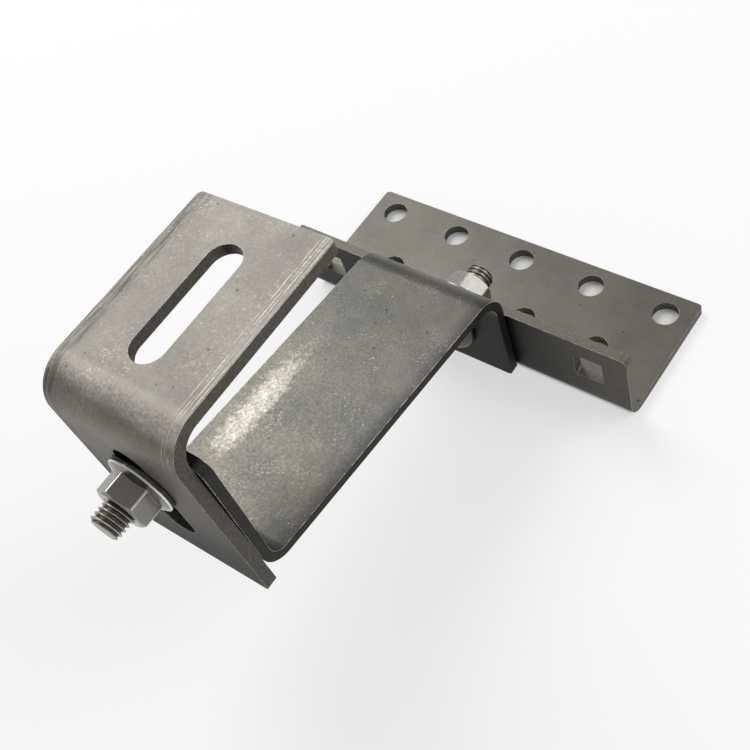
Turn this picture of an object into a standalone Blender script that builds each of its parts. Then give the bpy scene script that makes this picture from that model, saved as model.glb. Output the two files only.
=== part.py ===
"""Solar roof hook: a steel arm bolted between a screw-down base bracket and a slotted rail bracket.

X runs along the base bracket, Y from the rail bracket towards the base, and Z up. The origin is
on the base bracket's underside, in the middle of its length and depth.
"""

import math

import bmesh
import bpy
from mathutils import Matrix, Vector

MM = 0.001

# Base bracket: an angle bent from one sheet
BASE_LENGTH = 140 * MM
BASE_DEPTH = 50.5 * MM
BASE_SHEET = 3.5 * MM
FLANGE_HEIGHT = 33 * MM
BASE_BEND = 6.5 * MM
BASE_CORNER = 1.6 * MM
FLANGE_CORNER = 3 * MM
FLANGE_Y = -BASE_DEPTH / 2

# Its screw holes: two staggered rows at one pitch, and three square holes in the flange
SCREW_HOLE = 9.6 * MM
HOLE_PITCH = 30 * MM
FAR_ROW_Y = FLANGE_Y + 41.8 * MM
NEAR_ROW_Y = FLANGE_Y + 18.4 * MM
FAR_ROW_HOLES = 5
NEAR_ROW_HOLES = 4
SQUARE_HOLE = 10.7 * MM
SQUARE_CORNER = 0.8 * MM
SQUARE_HOLE_X = 55 * MM
REAR_BOLT_Z = 20.5 * MM

# Hook arm: leg, sloping plate and wall, bent from one strip
GAP = 0.3 * MM
ARM_SHEET = 3.5 * MM
ARM_WIDTH = 50.5 * MM
ARM_CENTRE_X = -0.8 * MM
LEG_BOTTOM_Z = 2.2 * MM
PLATE_TOP_Z = 46.9 * MM
PLATE_SLOPE = math.radians(5.5)
WALL_BACK_Y = FLANGE_Y - 114.8 * MM
WALL_TOP_Z = 111.3 * MM
REAR_BEND = 11 * MM
FRONT_BEND = 9 * MM
LEG_CORNER = 2 * MM
WALL_CORNER = 4 * MM

# Rail bracket: an angle with a slot in each leg, placed upright and then turned on its bolt
RAIL_SHEET = 4 * MM
RAIL_WIDTH = 50.5 * MM
RAIL_CENTRE_X = -1.7 * MM
RAIL_BOTTOM_Z = 49.9 * MM
RAIL_TOP_Z = 124.1 * MM
RAIL_END_Y = FLANGE_Y - 50.75 * MM
RAIL_TURN = math.radians(-2.8)
RAIL_BEND = 12 * MM
RAIL_CORNER = 1.8 * MM
SLOT_WIDTH = 11.9 * MM
SLOT_LENGTH = 42 * MM
SLOT_X = -2.2 * MM
TOP_SLOT_Y = FLANGE_Y - 83.95 * MM
FACE_SLOT_Z = 85.6 * MM

# M10 carriage bolts with flange nuts
BOLT_SIZE = 9.9 * MM
FRONT_BOLT_LENGTH = 25 * MM
REAR_BOLT_LENGTH = 24 * MM
BOLT_CHAMFER = 0.9 * MM
HEAD_DIAMETER = 24 * MM
HEAD_HEIGHT = 5.2 * MM
HEAD_RIM = 0.8 * MM
NECK_SIDE = 9.9 * MM
NECK_LENGTH = 5.5 * MM
NUT_ACROSS_FLATS = 15 * MM
NUT_HEIGHT = 9.9 * MM
NUT_FLANGE = 21.8 * MM
NUT_FLANGE_RIM = 1.5 * MM
NUT_RIM_ROUND = 0.3 * MM
NUT_CROWN = 14.2 * MM
NUT_CONE_SLOPE = math.radians(25)
NUT_CHAMFER = math.radians(30)
NUT_BORE = BOLT_SIZE + 2 * GAP
BORE_CHAMFER = 0.5 * MM
REAR_BOLT_X = 0
FRONT_BOLT_X = -2.9 * MM
FRONT_BOLT_Z = 91.5 * MM
FRONT_NUT_TURN = math.radians(7)
REAR_NUT_TURN = math.radians(4.5)

# Facets
ARC_STEPS = 12
HOLE_STEPS = 40
TURNED_STEPS = 48
CUT_PAST = 8 * MM
HAIR = 0.001 * MM


def clear_scene():
    for old in list(bpy.data.objects):
        bpy.data.objects.remove(old, do_unlink=True)


def new_collection(name):
    group = bpy.data.collections.new(name)
    bpy.context.scene.collection.children.link(group)
    return group


def steel(name, colour, roughness, metallic):
    """A Principled material in the given grey."""
    made = bpy.data.materials.new(name)
    made.use_nodes = True
    shader = made.node_tree.nodes["Principled BSDF"]
    shader.inputs["Base Color"].default_value = (*colour, 1)
    shader.inputs["Roughness"].default_value = roughness
    shader.inputs["Metallic"].default_value = metallic
    made.diffuse_color = (*colour, 1)
    return made


def object_from(bm, name, group, material=None):
    """Turns a finished bmesh into an object of the given collection."""
    mesh = bpy.data.meshes.new(name)
    bm.to_mesh(mesh)
    bm.free()
    made = bpy.data.objects.new(name, mesh)
    group.objects.link(made)
    if material:
        mesh.materials.append(material)
        mesh.shade_smooth()
        mesh.set_sharp_from_angle(angle=math.radians(20))
    return made


def bent_line(corners, radii):
    """A side view as (y, z) points, with each inner corner rounded to its radius."""
    points = [Vector(corners[0])]
    for before, corner, after, radius in zip(corners, corners[1:], corners[2:], radii):
        before, corner, after = Vector(before), Vector(corner), Vector(after)
        arriving = (corner - before).normalized()
        leaving = (after - corner).normalized()
        turn = arriving.angle_signed(leaving)
        setback = radius * math.tan(abs(turn) / 2)
        start = corner - arriving * setback
        side = Vector((arriving.y, -arriving.x)) * math.copysign(radius, turn)
        centre = start + side
        for step in range(ARC_STEPS + 1):
            swept = Matrix.Rotation(-turn * step / ARC_STEPS, 2)
            points.append(centre + swept @ (start - centre))
    points.append(Vector(corners[-1]))
    return points


def bent_sheet(name, line, centre_x, width, thickness, end_corners, material):
    """A bent strip. The line is its outer face, seen from +X, and the sheet lies on its left.

    end_corners gives the corner radius at the line's first and last end.
    """
    bm = bmesh.new()
    low = [bm.verts.new((centre_x - width / 2, y, z)) for y, z in line]
    for one, two in zip(low, low[1:]):
        bm.edges.new((one, two))
    swept = bmesh.ops.extrude_edge_only(bm, edges=bm.edges[:])
    high = [item for item in swept["geom"] if isinstance(item, bmesh.types.BMVert)]
    bmesh.ops.translate(bm, verts=high, vec=(width, 0, 0))
    bmesh.ops.recalc_face_normals(bm, faces=bm.faces)
    bm.faces.ensure_lookup_table()
    first = next(f for f in bm.faces if low[0] in f.verts)
    outward = (line[1] - line[0]).yx
    if first.normal.y * outward.x - first.normal.z * outward.y < 0:
        bmesh.ops.reverse_faces(bm, faces=bm.faces)
    for end, radius in zip((line[0], line[-1]), end_corners):
        tips = [v for v in bm.verts if (v.co.yz - end).length < HAIR]
        bmesh.ops.bevel(
            bm, geom=tips, offset=radius, segments=6, profile=0.5, affect="VERTICES"
        )
    sheet = object_from(bm, name, PARTS, material)
    solid = sheet.modifiers.new("Sheet", "SOLIDIFY")
    solid.thickness = thickness
    solid.offset = -1
    solid.use_even_offset = True
    return sheet


def shape_with(target, other, operation):
    """Cuts, joins or trims one shape with another, which stays as a hidden wire shape."""
    other.hide_render = True
    other.display_type = "WIRE"
    step = target.modifiers.new(other.name, "BOOLEAN")
    step.operation = operation
    step.object = other
    step.solver = "EXACT"


def facing(centre, axis):
    """The placing that turns +Z to the given axis, at the centre."""
    return Matrix.Translation(centre) @ Vector(axis).to_track_quat("Z", "Y").to_matrix().to_4x4()


def round_cutter(name, centre, diameter, depth):
    bm = bmesh.new()
    bmesh.ops.create_cone(
        bm,
        cap_ends=True,
        segments=HOLE_STEPS,
        radius1=diameter / 2,
        radius2=diameter / 2,
        depth=depth,
        matrix=Matrix.Translation(centre),
    )
    return object_from(bm, name, CUTTERS)


def rounded_cutter(name, centre, axis, long_side, short_side, corner, depth):
    """A hole through a sheet that faces along axis, its long side in the plane of the bends."""
    bm = bmesh.new()
    bmesh.ops.create_cube(bm, size=1)
    bmesh.ops.scale(bm, verts=bm.verts, vec=(short_side, long_side, depth))
    upright = [e for e in bm.edges if abs(e.verts[0].co.z - e.verts[1].co.z) > depth / 2]
    bmesh.ops.bevel(
        bm, geom=upright, offset=corner, segments=ARC_STEPS, profile=0.5, affect="EDGES"
    )
    bmesh.ops.transform(bm, verts=bm.verts, matrix=facing(centre, axis))
    return object_from(bm, name, CUTTERS)


def square_hole(name, target, centre):
    sides = (SQUARE_HOLE, SQUARE_HOLE, SQUARE_CORNER, 2 * CUT_PAST)
    shape_with(target, rounded_cutter(name, centre, (0, -1, 0), *sides), "DIFFERENCE")


def turned(name, profile, group, material=None):
    """A solid of revolution about Z from (radius, z) points that run from its top to its bottom."""
    bm = bmesh.new()
    points = [bm.verts.new((radius, 0, z)) for radius, z in profile]
    for one, two in zip(points, points[1:]):
        bm.edges.new((one, two))
    shape = object_from(bm, name, group, material)
    lathe = shape.modifiers.new("Turned", "SCREW")
    lathe.axis = "Z"
    lathe.angle = math.tau
    lathe.screw_offset = 0
    lathe.steps = TURNED_STEPS
    lathe.render_steps = TURNED_STEPS
    lathe.use_merge_vertices = True
    lathe.merge_threshold = 1e-6
    return shape


def build_base_bracket():
    corners = [(FLANGE_Y, FLANGE_HEIGHT), (FLANGE_Y, 0), (FLANGE_Y + BASE_DEPTH, 0)]
    base = bent_sheet(
        "base_bracket",
        bent_line(corners, [BASE_BEND]),
        0,
        BASE_LENGTH,
        BASE_SHEET,
        (FLANGE_CORNER, BASE_CORNER),
        steel("base_steel", (0.19, 0.18, 0.165), 0.45, 0.85),
    )
    rows = ((FAR_ROW_Y, FAR_ROW_HOLES, "far"), (NEAR_ROW_Y, NEAR_ROW_HOLES, "near"))
    for row_y, count, row in rows:
        for index in range(count):
            x = (index - (count - 1) / 2) * HOLE_PITCH
            name = f"screw_hole_{row}_{index + 1}"
            hole = round_cutter(name, (x, row_y, 0), SCREW_HOLE, 2 * CUT_PAST)
            shape_with(base, hole, "DIFFERENCE")
    for side, x in (("left", -SQUARE_HOLE_X), ("middle", REAR_BOLT_X), ("right", SQUARE_HOLE_X)):
        square_hole(f"square_hole_{side}", base, (x, FLANGE_Y, REAR_BOLT_Z))


def build_hook_arm():
    leg_back = FLANGE_Y - GAP
    plate_rise = math.tan(PLATE_SLOPE)
    corners = [
        (leg_back, LEG_BOTTOM_Z),
        (leg_back, PLATE_TOP_Z + GAP * plate_rise),
        (WALL_BACK_Y, PLATE_TOP_Z + (FLANGE_Y - WALL_BACK_Y) * plate_rise),
        (WALL_BACK_Y, WALL_TOP_Z),
    ]
    line = bent_line(corners, [REAR_BEND, FRONT_BEND - ARM_SHEET])
    arm = bent_sheet(
        "hook_arm",
        line,
        ARM_CENTRE_X,
        ARM_WIDTH,
        ARM_SHEET,
        (LEG_CORNER, WALL_CORNER),
        steel("arm_steel", (0.22, 0.215, 0.205), 0.4, 0.85),
    )
    square_hole("leg_hole", arm, (REAR_BOLT_X, leg_back, REAR_BOLT_Z))
    square_hole("wall_hole", arm, (FRONT_BOLT_X, WALL_BACK_Y, FRONT_BOLT_Z))


def build_rail_bracket():
    face = WALL_BACK_Y - ARM_SHEET - GAP - RAIL_SHEET
    corners = [(RAIL_END_Y, RAIL_TOP_Z), (face, RAIL_TOP_Z), (face, RAIL_BOTTOM_Z)]
    bracket = bent_sheet(
        "rail_bracket",
        bent_line(corners, [RAIL_BEND]),
        RAIL_CENTRE_X,
        RAIL_WIDTH,
        RAIL_SHEET,
        (RAIL_CORNER, RAIL_CORNER),
        steel("rail_steel", (0.3, 0.29, 0.27), 0.45, 0.8),
    )
    slot = (SLOT_LENGTH, SLOT_WIDTH, SLOT_WIDTH / 2 - HAIR, 2 * CUT_PAST)
    top = (SLOT_X, TOP_SLOT_Y, RAIL_TOP_Z - RAIL_SHEET / 2)
    low = (SLOT_X, face + RAIL_SHEET / 2, FACE_SLOT_Z)
    for name, centre, axis in (("top_slot", top, (0, 0, 1)), ("face_slot", low, (0, -1, 0))):
        cutter = rounded_cutter(name, centre, axis, *slot)
        cutter.parent = bracket
        shape_with(bracket, cutter, "DIFFERENCE")
    pivot = Vector((FRONT_BOLT_X, 0, FRONT_BOLT_Z))
    turn = Matrix.Rotation(RAIL_TURN, 4, "Y")
    bracket.matrix_world = Matrix.Translation(pivot) @ turn @ Matrix.Translation(-pivot)


def build_carriage_bolt(name, length, seat, direction, x, z, material):
    """A bolt whose domed head sits at seat, a Y position, and whose thread points along direction."""
    rim = HEAD_DIAMETER / 2
    shank = BOLT_SIZE / 2
    dome_height = HEAD_HEIGHT - HEAD_RIM
    dome = []
    for step in range(ARC_STEPS + 1):
        angle = math.pi / 2 * (1 - step / ARC_STEPS)
        dome.append((rim * math.sin(angle), -HEAD_RIM - dome_height * math.cos(angle)))
    profile = [
        (0, length),
        (shank - BOLT_CHAMFER, length),
        (shank, length - BOLT_CHAMFER),
        (shank, 0),
        (rim, 0),
        *dome,
    ]
    bolt = turned(name, profile, PARTS, material)

    bm = bmesh.new()
    bmesh.ops.create_cube(bm, size=1)
    bmesh.ops.scale(bm, verts=bm.verts, vec=(NECK_SIDE, NECK_SIDE, NECK_LENGTH))
    bmesh.ops.translate(bm, verts=bm.verts, vec=(0, 0, NECK_LENGTH / 2 - HEAD_RIM))
    upright = [e for e in bm.edges if abs(e.verts[0].co.z - e.verts[1].co.z) > MM]
    bmesh.ops.bevel(
        bm, geom=upright, offset=SQUARE_CORNER, segments=3, profile=0.5, affect="EDGES"
    )
    neck = object_from(bm, f"{name}_neck", CUTTERS)
    shape_with(bolt, neck, "UNION")
    neck.parent = bolt
    bolt.matrix_world = facing((x, seat, z), (0, direction, 0))


def build_flange_nut(name, seat, direction, x, z, turn, material):
    """A hexagon nut on a flange. Its flange rests at seat, and its crown points along direction."""
    flat = NUT_ACROSS_FLATS / 2
    corner = flat / math.cos(math.pi / 6)
    rim = NUT_FLANGE / 2
    bore = NUT_BORE / 2
    cone_top = NUT_FLANGE_RIM + (rim - flat) * math.tan(NUT_CONE_SLOPE)
    crown_edge = NUT_HEIGHT - (corner + MM - NUT_CROWN / 2) * math.tan(NUT_CHAMFER)

    bm = bmesh.new()
    bmesh.ops.create_cone(
        bm,
        cap_ends=True,
        segments=6,
        radius1=corner,
        radius2=corner,
        depth=NUT_HEIGHT - MM,
        matrix=Matrix.Translation((0, 0, (NUT_HEIGHT + MM) / 2)),
    )
    nut = object_from(bm, name, PARTS, material)
    crown = turned(
        f"{name}_crown",
        [
            (0, NUT_HEIGHT),
            (NUT_CROWN / 2, NUT_HEIGHT),
            (corner + MM, crown_edge),
            (corner + MM, 0),
            (0, 0),
        ],
        CUTTERS,
    )
    flange = turned(
        f"{name}_flange",
        [
            (0, cone_top),
            (flat, cone_top),
            (rim, NUT_FLANGE_RIM),
            (rim, NUT_RIM_ROUND),
            (rim - NUT_RIM_ROUND, 0),
            (0, 0),
        ],
        CUTTERS,
    )
    hole = turned(
        f"{name}_bore",
        [
            (0, NUT_HEIGHT + MM),
            (bore + BORE_CHAMFER + MM, NUT_HEIGHT + MM),
            (bore, NUT_HEIGHT - BORE_CHAMFER),
            (bore, BORE_CHAMFER),
            (bore + BORE_CHAMFER + MM, -MM),
            (0, -MM),
        ],
        CUTTERS,
    )
    for shape, operation in ((crown, "INTERSECT"), (flange, "UNION"), (hole, "DIFFERENCE")):
        shape_with(nut, shape, operation)
        shape.parent = nut
    nut.matrix_world = facing((x, seat, z), (0, direction, 0)) @ Matrix.Rotation(turn, 4, "Z")


def build_fasteners():
    """Each bolt's head and nut clamp two sheets between them."""
    bright = steel("bright_steel", (0.55, 0.54, 0.52), 0.3, 1.0)
    front = (FRONT_BOLT_X, FRONT_BOLT_Z)
    rear = (REAR_BOLT_X, REAR_BOLT_Z)
    wall_head = WALL_BACK_Y + GAP
    face_nut = WALL_BACK_Y - ARM_SHEET - GAP - RAIL_SHEET - GAP
    leg_head = FLANGE_Y - GAP - ARM_SHEET - GAP
    flange_nut = FLANGE_Y + BASE_SHEET + GAP
    build_carriage_bolt(
        "front_carriage_bolt", FRONT_BOLT_LENGTH, wall_head, -1, *front, bright
    )
    build_flange_nut("front_flange_nut", face_nut, -1, *front, FRONT_NUT_TURN, bright)
    build_carriage_bolt("rear_carriage_bolt", REAR_BOLT_LENGTH, leg_head, 1, *rear, bright)
    build_flange_nut("rear_flange_nut", flange_nut, 1, *rear, REAR_NUT_TURN, bright)


clear_scene()
PARTS = new_collection("solar_roof_hook")
CUTTERS = new_collection("cutters")
build_base_bracket()
build_hook_arm()
build_rail_bracket()
build_fasteners()
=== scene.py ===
"""The looks of a solar roof hook: bent mill-finish steel sheets held by two carriage bolts.

X runs along the base bracket, Y from the rail bracket towards the base, and Z up from the roof.
"""

import math

import bmesh
import bpy
from mathutils import Matrix, Vector


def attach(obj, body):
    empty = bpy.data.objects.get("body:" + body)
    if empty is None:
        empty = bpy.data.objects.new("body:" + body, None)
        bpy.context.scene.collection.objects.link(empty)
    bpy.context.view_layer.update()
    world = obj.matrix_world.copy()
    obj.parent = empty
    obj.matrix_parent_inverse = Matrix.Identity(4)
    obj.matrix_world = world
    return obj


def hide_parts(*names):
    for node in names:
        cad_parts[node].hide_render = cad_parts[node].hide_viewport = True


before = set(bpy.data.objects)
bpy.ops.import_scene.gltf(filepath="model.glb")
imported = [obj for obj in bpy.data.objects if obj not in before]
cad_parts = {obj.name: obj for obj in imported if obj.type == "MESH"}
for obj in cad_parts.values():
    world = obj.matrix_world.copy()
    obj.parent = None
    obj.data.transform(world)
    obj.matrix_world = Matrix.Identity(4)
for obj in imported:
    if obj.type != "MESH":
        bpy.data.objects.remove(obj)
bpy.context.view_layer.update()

# Camera
# A short telephoto lens looks down on the hook from its right front corner, and the camera is
# rolled, so that the arm runs from the lower left to the upper right of the picture. The lens
# is shifted a little, because the picture's middle isn't where the lens points.

MM = 0.001
CAMERA_PLACE = Vector((192.98, -200.90, 341.06)) * MM
CAMERA_TURN = math.radians(54.152)
CAMERA_DROP = math.radians(52.734)
CAMERA_ROLL = math.radians(22.910)
LENS_MM = 55.923
SENSOR_MM = 36
LENS_SHIFT = (-0.0193, 0.0028)

eye = bpy.data.cameras.new("photo_camera")
eye.sensor_width = SENSOR_MM
eye.lens = LENS_MM
eye.shift_x, eye.shift_y = LENS_SHIFT
eye.clip_start = 0.01
camera = bpy.data.objects.new("photo_camera", eye)
bpy.context.scene.collection.objects.link(camera)
bpy.context.scene.camera = camera
camera.matrix_world = (
    Matrix.Translation(CAMERA_PLACE)
    @ Matrix.Rotation(CAMERA_TURN, 4, "Z")
    @ Matrix.Rotation(math.pi / 2 - CAMERA_DROP, 4, "X")
    @ Matrix.Rotation(-CAMERA_ROLL, 4, "Z")
)

# Floor and studio light
# A plain pale floor, lit by two soft lamps above the hook's far left and far right, and by an even
# pale room. The metal mirrors all of them. The floor glows a little, so that the hook's shadow
# on it stays faint. Under the base plate it doesn't glow and is painted a darker grey, a painted
# shade that the screw holes show.
# Here and below, the two places of a mark are where it is at its full and where it has gone.

FLOOR_SIDE = 6.0
FLOOR_GREY = "#FDFDFD"
PAINTED_SHADE_GREY = "#E8E8E6"
SHADE_X = (67 * MM, 69 * MM)
SHADE_Y = (22 * MM, 24 * MM)
FLOOR_GLOW = 0.6
FLOOR_ROUGHNESS = 0.9
WHITE = "#FFFFFF"
ROOM_LIGHT = 0.42
LAMP_SIDE = 0.7
LEFT_LAMP_PLACE = (-0.84, 0.34, 1.05)
LEFT_LAMP_WATTS = 9
RIGHT_LAMP_PLACE = (0.86, 0.50, 1.02)
RIGHT_LAMP_WATTS = 5.5
HOOK_MIDDLE = (0, -0.07, 0.06)


def linear(hex_colour):
    """An sRGB hex value as the linear colour that a shader takes."""
    parts = [int(hex_colour[i : i + 2], 16) / 255 for i in (1, 3, 5)]
    bright = [p / 12.92 if p <= 0.04045 else ((p + 0.055) / 1.055) ** 2.4 for p in parts]
    return (*bright, 1)


def new_material(name):
    made = bpy.data.materials.new(name)
    made.use_nodes = True
    return made


def add_node(material, kind, settings=(), links=()):
    """Adds a node. settings pairs a property or an input's name with its value, and links pairs
    an input's name with the output that feeds it."""
    made = material.node_tree.nodes.new(kind)
    for name, value in dict(settings).items():
        if isinstance(name, str) and hasattr(made, name):
            setattr(made, name, value)
        else:
            made.inputs[name].default_value = value
    for name, output in dict(links).items():
        material.node_tree.links.new(output, made.inputs[name])
    return made


def fading(material, value, full, none, line=None):
    """How much of a mark shows: all of it where value is at full, and nothing of it at none. With
    a line, full and none are distances from it, on either side."""
    if line is not None:
        past = add_node(
            material, "ShaderNodeMath", {"operation": "SUBTRACT", 1: line}, {0: value}
        ).outputs["Value"]
        value = add_node(
            material, "ShaderNodeMath", {"operation": "ABSOLUTE"}, {0: past}
        ).outputs["Value"]
    return add_node(
        material,
        "ShaderNodeMapRange",
        {
            "interpolation_type": "SMOOTHSTEP",
            "From Min": full,
            "From Max": none,
            "To Min": 1,
            "To Max": 0,
        },
        {"Value": value},
    ).outputs["Result"]


bpy.ops.object.select_all(action="DESELECT")
bpy.ops.mesh.primitive_plane_add(size=FLOOR_SIDE)
floor = bpy.context.object
floor.name = "floor"
# Matt floor paint is an even pale grey without highlights. Under the base plate it is painted
# darker, as painted shade.
floor_paint = new_material("matt_floor_paint")
floor_shader = floor_paint.node_tree.nodes["Principled BSDF"]
floor_place = add_node(floor_paint, "ShaderNodeTexCoord").outputs["Object"]
floor_spots = add_node(floor_paint, "ShaderNodeSeparateXYZ", links={"Vector": floor_place})
# Painted shade: a darker grey under the base plate, where the floor doesn't glow.
painted_shade_under_plate = add_node(
    floor_paint,
    "ShaderNodeMath",
    {"operation": "MULTIPLY"},
    {
        0: fading(floor_paint, floor_spots.outputs["X"], *SHADE_X, line=0),
        1: fading(floor_paint, floor_spots.outputs["Y"], *SHADE_Y, line=0),
    },
).outputs["Value"]
floor_colour = add_node(
    floor_paint,
    "ShaderNodeMixRGB",
    {"Color1": linear(FLOOR_GREY), "Color2": linear(PAINTED_SHADE_GREY)},
    {"Fac": painted_shade_under_plate},
).outputs["Color"]
floor_paint.node_tree.links.new(floor_colour, floor_shader.inputs["Base Color"])
floor_shader.inputs["Roughness"].default_value = FLOOR_ROUGHNESS
seen = add_node(floor_paint, "ShaderNodeLightPath")
seen_or_mirrored = add_node(
    floor_paint,
    "ShaderNodeMath",
    {"operation": "MAXIMUM"},
    {0: seen.outputs["Is Camera Ray"], 1: seen.outputs["Is Glossy Ray"]},
).outputs["Value"]
seen_at_all = add_node(
    floor_paint,
    "ShaderNodeMath",
    {"operation": "MAXIMUM"},
    {0: seen_or_mirrored, 1: seen.outputs["Is Transmission Ray"]},
).outputs["Value"]
glow_place = add_node(
    floor_paint,
    "ShaderNodeMapRange",
    {"To Min": FLOOR_GLOW, "To Max": 0},
    {"Value": painted_shade_under_plate},
).outputs["Result"]
glow_share = add_node(
    floor_paint, "ShaderNodeMath", {"operation": "MULTIPLY"}, {0: glow_place, 1: seen_at_all}
).outputs["Value"]
glow = add_node(floor_paint, "ShaderNodeEmission", {"Color": linear(WHITE), "Strength": 1})
floor_mix = add_node(
    floor_paint,
    "ShaderNodeMixShader",
    links={"Fac": glow_share, 1: floor_shader.outputs["BSDF"], 2: glow.outputs["Emission"]},
).outputs["Shader"]
floor_end = floor_paint.node_tree.nodes["Material Output"]
floor_paint.node_tree.links.new(floor_mix, floor_end.inputs["Surface"])
floor.data.materials.append(floor_paint)

room = bpy.data.worlds.new("room")
room.use_nodes = True
room_light = room.node_tree.nodes["Background"]
room_light.inputs["Color"].default_value = linear(WHITE)
room_light.inputs["Strength"].default_value = ROOM_LIGHT
bpy.context.scene.world = room


def soft_lamp(name, place, watts):
    """A square lamp that faces the hook's middle."""
    lamp = bpy.data.lights.new(name, "AREA")
    lamp.shape = "SQUARE"
    lamp.size = LAMP_SIDE
    lamp.energy = watts
    holder = bpy.data.objects.new(name, lamp)
    bpy.context.scene.collection.objects.link(holder)
    holder.location = place
    aim = Vector(HOOK_MIDDLE) - Vector(place)
    holder.rotation_euler = aim.to_track_quat("-Z", "Y").to_euler()


soft_lamp("left_lamp", LEFT_LAMP_PLACE, LEFT_LAMP_WATTS)
soft_lamp("right_lamp", RIGHT_LAMP_PLACE, RIGHT_LAMP_WATTS)

bpy.context.scene.view_settings.view_transform = "Standard"

# Base bracket
# The foot of the hook is an angle of stainless sheet, laser cut with two staggered rows of screw
# holes and three square holes, and folded once on a press brake. It is screwed to the rafter.

BASE_LENGTH = 140 * MM
BASE_DEPTH = 50.5 * MM
BASE_SHEET = 3.5 * MM
FLANGE_HEIGHT = 33 * MM
BASE_FOLD = 6.5 * MM
BASE_TIPS = (3 * MM, 1.6 * MM)
FLANGE_Y = -BASE_DEPTH / 2
SCREW_HOLE = 9.6 * MM
HOLE_PITCH = 30 * MM
HOLE_ROWS = ((5, FLANGE_Y + 41.8 * MM), (4, FLANGE_Y + 18.4 * MM))
SQUARE_HOLE = 10.7 * MM
SQUARE_CORNER = 0.8 * MM
SQUARE_HOLE_X = 55 * MM
REAR_BOLT_Z = 20.5 * MM
BASE_EDGE = 0.25 * MM
GAP = 0.3 * MM  # between faces that touch on the real hook
THROUGH = 16 * MM  # the length of a tool that cuts a hole through a sheet
CLOSE = 0.001 * MM  # points that are nearer than this are one
FOLD_STEPS = 16
TIP_STEPS = 8
HOLE_STEPS = 56
HOLE_CORNER_STEPS = 12
EDGE_STEPS = 2
EDGE_SHARPER_THAN = 50
SMOOTH_UNDER = 30
LARGE_FACE_WEIGHT = 80
CUT_METAL = 1
BURR_METAL = 2


def pick(kind, test):
    """In edit mode, selects only the vertices, edges or faces that pass the test."""
    bpy.ops.mesh.select_mode(type=kind)
    bpy.ops.mesh.select_all(action="DESELECT")
    mesh = bmesh.from_edit_mesh(bpy.context.object.data)
    for item in {"VERT": mesh.verts, "EDGE": mesh.edges, "FACE": mesh.faces}[kind]:
        item.select_set(test(item))
    mesh.select_flush_mode()
    bmesh.update_edit_mesh(bpy.context.object.data)


def apply_place(piece, matrix=None):
    """Moves the piece's place into its mesh, after the given move."""
    bpy.ops.object.select_all(action="DESELECT")
    piece.select_set(True)
    bpy.context.view_layer.objects.active = piece
    if matrix:
        piece.matrix_world = matrix @ piece.matrix_world
    bpy.ops.object.transform_apply(location=True, rotation=True, scale=True)


def use_modifier(piece, kind, **settings):
    step = piece.modifiers.new(kind.title(), kind)
    for name, value in settings.items():
        setattr(step, name, value)
    bpy.ops.object.select_all(action="DESELECT")
    piece.select_set(True)
    bpy.context.view_layer.objects.active = piece
    bpy.ops.object.modifier_apply(modifier=step.name)


def folded_sheet(name, corners, folds, centre_x, width, thickness, tips, metals):
    """A strip folded along (y, z) corners of its outer face. Seen from +X the sheet lies on the
    left of that line. folds gives each outer fold's radius and tips the corner radius at each end.
    Its metals are for its faces, its cut edges and their burr."""
    corners = [Vector(corner) for corner in corners]
    run = corners[1] - corners[0]
    middle = (corners[0] + corners[1]) / 2
    bpy.ops.object.select_all(action="DESELECT")
    bpy.ops.mesh.primitive_plane_add(
        size=1,
        location=(centre_x, middle.x, middle.y),
        rotation=(math.atan2(run.y, run.x), 0, 0),
    )
    strip = bpy.context.object
    strip.name = name
    strip.scale = (width, run.length, 1)
    apply_place(strip)

    def is_at(vertex, corner):
        return (vertex.co.yz - corner).length < CLOSE

    bpy.ops.object.mode_set(mode="EDIT")
    for here, there in zip(corners[1:], corners[2:]):
        pick("EDGE", lambda e: all(is_at(v, here) for v in e.verts))
        reach = there - here
        bpy.ops.mesh.extrude_region_move(
            TRANSFORM_OT_translate={"value": (0, reach.x, reach.y)}
        )
    for before, fold, after, radius in zip(corners, corners[1:], corners[2:], folds):
        turn = (fold - before).angle(after - fold)
        pick("EDGE", lambda e: all(is_at(v, fold) for v in e.verts))
        bpy.ops.mesh.bevel(
            offset=radius * math.tan(turn / 2), segments=FOLD_STEPS, affect="EDGES"
        )
    for end, radius in zip((corners[0], corners[-1]), tips):
        pick("VERT", lambda v: is_at(v, end))
        bpy.ops.mesh.bevel(offset=radius, segments=TIP_STEPS, affect="VERTICES")
    bpy.ops.mesh.select_all(action="SELECT")
    bpy.ops.mesh.flip_normals()
    bpy.ops.object.mode_set(mode="OBJECT")
    for metal in metals:
        strip.data.materials.append(metal)
    use_modifier(
        strip,
        "SOLIDIFY",
        thickness=thickness,
        offset=-1,
        use_even_offset=True,
        material_offset_rim=CUT_METAL,
    )
    return strip


def cut_with(target, *tools, operation="DIFFERENCE"):
    """Cuts, joins or trims the target with tools, which are used up. A cut shows edge metal."""
    bpy.ops.object.select_all(action="DESELECT")
    for tool in tools:
        tool.select_set(True)
    tool = tools[0]
    bpy.context.view_layer.objects.active = tool
    if len(tools) > 1:
        bpy.ops.object.join()
    if operation == "DIFFERENCE":
        for steel in target.data.materials:
            tool.data.materials.append(steel)
        for face in tool.data.polygons:
            face.material_index = CUT_METAL
    use_modifier(target, "BOOLEAN", object=tool, operation=operation, solver="EXACT")
    bpy.data.objects.remove(tool, do_unlink=True)


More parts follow.
